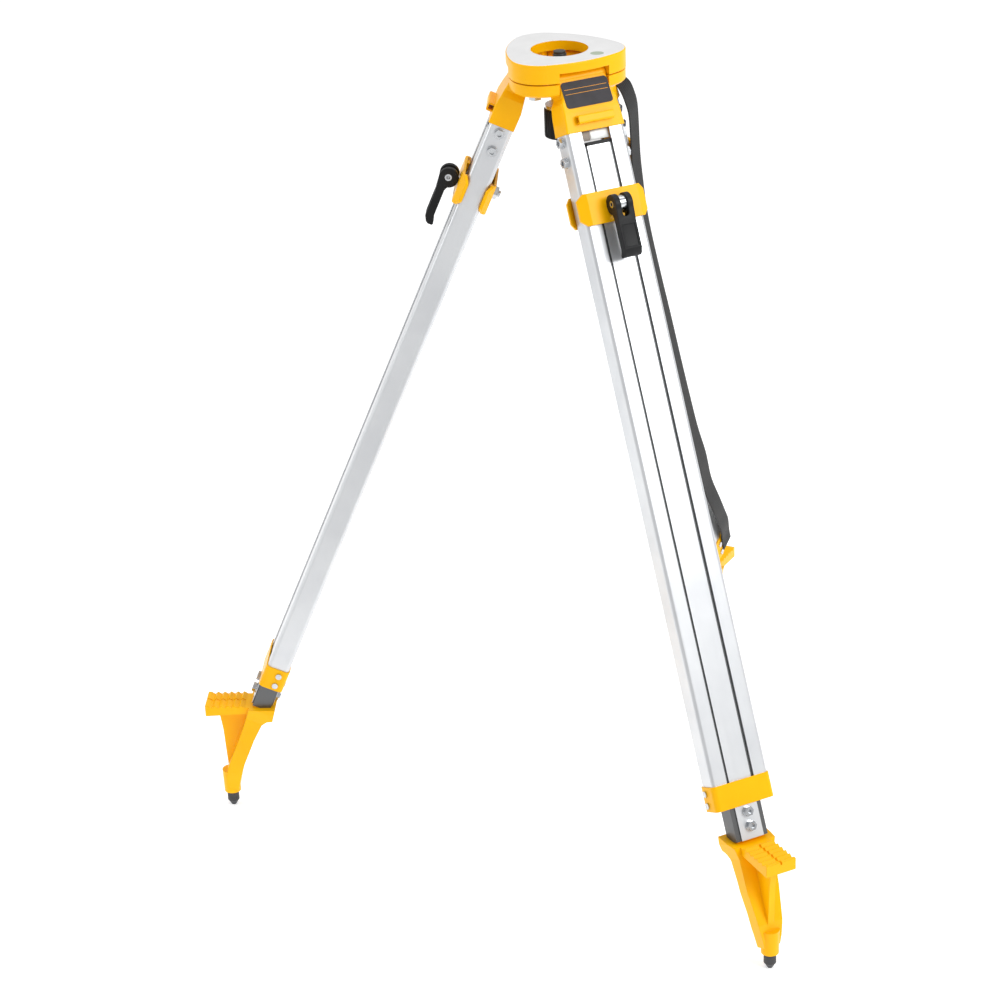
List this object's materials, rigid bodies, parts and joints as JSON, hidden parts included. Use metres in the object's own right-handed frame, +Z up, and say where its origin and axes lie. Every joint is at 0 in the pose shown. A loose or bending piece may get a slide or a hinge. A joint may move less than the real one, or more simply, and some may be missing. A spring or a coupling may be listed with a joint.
{
  "type": "surveyor tripod",
  "caption": "Folding aluminium surveyor's tripod with a flat holed head, shifting centre screw, telescoping legs locked by cam levers, and feet with step plates.",
  "frame": {"origin": "centre of the head's machined top face, on the axis of its central hole", "axes": "+Z up, out of the head's top face; leg A points along -X, leg B to 300 degrees and leg C to 66 degrees about +Z"},
  "size_m": [0.7031, 0.8318, 0.9601],
  "materials": {
    "yellow_paint": "gloss paint on cast aluminium",
    "yellow_steel": "gloss powder coat on steel",
    "rail": "clear anodised extrusion",
    "zinc": "bright zinc plate",
    "black_plastic": "fine texture moulded nylon",
    "dark_steel": "black oxide",
    "label": "printed polyester",
    "webbing": "woven polypropylene"
  },
  "bodies": {
    "head": {"head_casting": "yellow_paint", "hinge_caps": "yellow_paint", "cap_bolts": "zinc", "arm_pivot_screw": "zinc", "leg_a_hinge_pin": "zinc", "leg_b_hinge_pin": "zinc", "leg_c_hinge_pin": "zinc"},
    "arm": {"swing_arm": "dark_steel"},
    "guide": {"guide_bush": "black_plastic", "guide_sleeve": "dark_steel"},
    "collar": {"screw_collar": "zinc"},
    "screw": {"fixing_screw": "dark_steel", "screw_knob": "black_plastic"},
    "leg_a_frame": {"leg_a_hinge_bracket": "yellow_paint", "leg_a_rail_left": "rail", "leg_a_rail_right": "rail", "leg_a_frame_fasteners": "zinc", "leg_a_bottom_band": "yellow_steel"},
    "leg_a_extension": {"leg_a_inner_tube": "rail", "leg_a_tube_cap": "black_plastic", "leg_a_clamp_plate_rear": "yellow_steel", "leg_a_clamp_bolt": "zinc", "leg_a_lever_pin": "zinc", "leg_a_foot": "yellow_paint", "leg_a_foot_bolts": "zinc", "leg_a_foot_point": "dark_steel"},
    "leg_a_front_plate": {"leg_a_clamp_plate_front": "yellow_steel"},
    "leg_a_lever": {"leg_a_cam_lever": "black_plastic"},
    "leg_b_frame": {"leg_b_hinge_bracket": "yellow_paint", "leg_b_rail_left": "rail", "leg_b_rail_right": "rail", "leg_b_frame_fasteners": "zinc", "leg_b_bottom_band": "yellow_steel", "label_plate": "label"},
    "leg_b_extension": {"leg_b_inner_tube": "rail", "leg_b_tube_cap": "black_plastic", "leg_b_clamp_plate_rear": "yellow_steel", "leg_b_clamp_bolt": "zinc", "leg_b_lever_pin": "zinc", "leg_b_foot": "yellow_paint", "leg_b_foot_bolts": "zinc", "leg_b_foot_point": "dark_steel"},
    "leg_b_front_plate": {"leg_b_clamp_plate_front": "yellow_steel"},
    "leg_b_lever": {"leg_b_cam_lever": "black_plastic"},
    "leg_c_frame": {"leg_c_hinge_bracket": "yellow_paint", "leg_c_rail_left": "rail", "leg_c_rail_right": "rail", "leg_c_frame_fasteners": "zinc", "leg_c_bottom_band": "yellow_steel", "carrying_strap": "webbing"},
    "leg_c_extension": {"leg_c_inner_tube": "rail", "leg_c_tube_cap": "black_plastic", "leg_c_clamp_plate_rear": "yellow_steel", "leg_c_clamp_bolt": "zinc", "leg_c_lever_pin": "zinc", "leg_c_foot": "yellow_paint", "leg_c_foot_bolts": "zinc", "leg_c_foot_point": "dark_steel"},
    "leg_c_front_plate": {"leg_c_clamp_plate_front": "yellow_steel"},
    "leg_c_lever": {"leg_c_cam_lever": "black_plastic"}
  },
  "joints": [
    {"name": "arm_swing", "type": "hinge", "parent": "head", "child": "arm", "pos_m": [0.041, 0, -0.017], "axis": [0, 0, 1], "range_deg": [-12, 12]},
    {"name": "guide_slide", "type": "slide", "parent": "arm", "child": "guide", "axis": [-1, 0, 0], "range_m": [-0.011, 0.011]},
    {"name": "screw_lift", "type": "slide", "parent": "guide", "child": "collar", "axis": [0, 0, 1], "range_m": [0, 0.018]},
    {"name": "screw_turn", "type": "hinge", "parent": "collar", "child": "screw", "pos_m": [0, 0, -0.05], "axis": [0, 0, 1], "continuous": true},
    {"name": "leg_a_fold", "type": "hinge", "parent": "head", "child": "leg_a_frame", "pos_m": [-0.0408, 0, -0.0225], "axis": [0, 1, 0], "range_deg": [-23.7, 10]},
    {"name": "leg_a_extend", "type": "slide", "parent": "leg_a_frame", "child": "leg_a_extension", "axis": [-0.4019, 0, -0.9157], "range_m": [0, 0.56]},
    {"name": "leg_a_lever", "type": "hinge", "parent": "leg_a_extension", "child": "leg_a_lever", "pos_m": [-0.12926, 0, -0.14366], "axis": [0, 1, 0], "range_deg": [0, 100]},
    {"name": "leg_a_plate_release", "type": "slide", "parent": "leg_a_extension", "child": "leg_a_front_plate", "axis": [-0.9157, 0, 0.4019], "range_m": [0, 0.0013]},
    {"name": "leg_b_fold", "type": "hinge", "parent": "head", "child": "leg_b_frame", "pos_m": [0.0204, -0.03533, -0.0225], "axis": [0.866, 0.5, 0], "range_deg": [-10, 23.7]},
    {"name": "leg_b_extend", "type": "slide", "parent": "leg_b_frame", "child": "leg_b_extension", "axis": [0.201, -0.3481, -0.9157], "range_m": [0, 0.56]},
    {"name": "leg_b_lever", "type": "hinge", "parent": "leg_b_extension", "child": "leg_b_lever", "pos_m": [0.06463, -0.11194, -0.14366], "axis": [-0.866, -0.5, 0], "range_deg": [0, 100]},
    {"name": "leg_b_plate_release", "type": "slide", "parent": "leg_b_extension", "child": "leg_b_front_plate", "axis": [0.4578, -0.793, 0.4019], "range_m": [0, 0.0013]},
    {"name": "leg_c_fold", "type": "hinge", "parent": "head", "child": "leg_c_frame", "pos_m": [0.01659, 0.03727, -0.0225], "axis": [-0.9135, 0.4067, 0], "range_deg": [-10, 23.7]},
    {"name": "leg_c_extend", "type": "slide", "parent": "leg_c_frame", "child": "leg_c_extension", "axis": [0.1635, 0.3672, -0.9157], "range_m": [0, 0.56]},
    {"name": "leg_c_lever", "type": "hinge", "parent": "leg_c_extension", "child": "leg_c_lever", "pos_m": [0.05258, 0.11809, -0.14366], "axis": [0.9135, -0.4067, 0], "range_deg": [0, 100]},
    {"name": "leg_c_plate_release", "type": "slide", "parent": "leg_c_extension", "child": "leg_c_front_plate", "axis": [0.3724, 0.8365, 0.4019], "range_m": [0, 0.0013]}
  ],
  "couplings": [
    {"joint": "leg_a_plate_release", "follows": "leg_a_lever", "m_per_rad": 0.00068755},
    {"joint": "leg_b_plate_release", "follows": "leg_b_lever", "m_per_rad": 0.00068755},
    {"joint": "leg_c_plate_release", "follows": "leg_c_lever", "m_per_rad": 0.00068755}
  ]
}
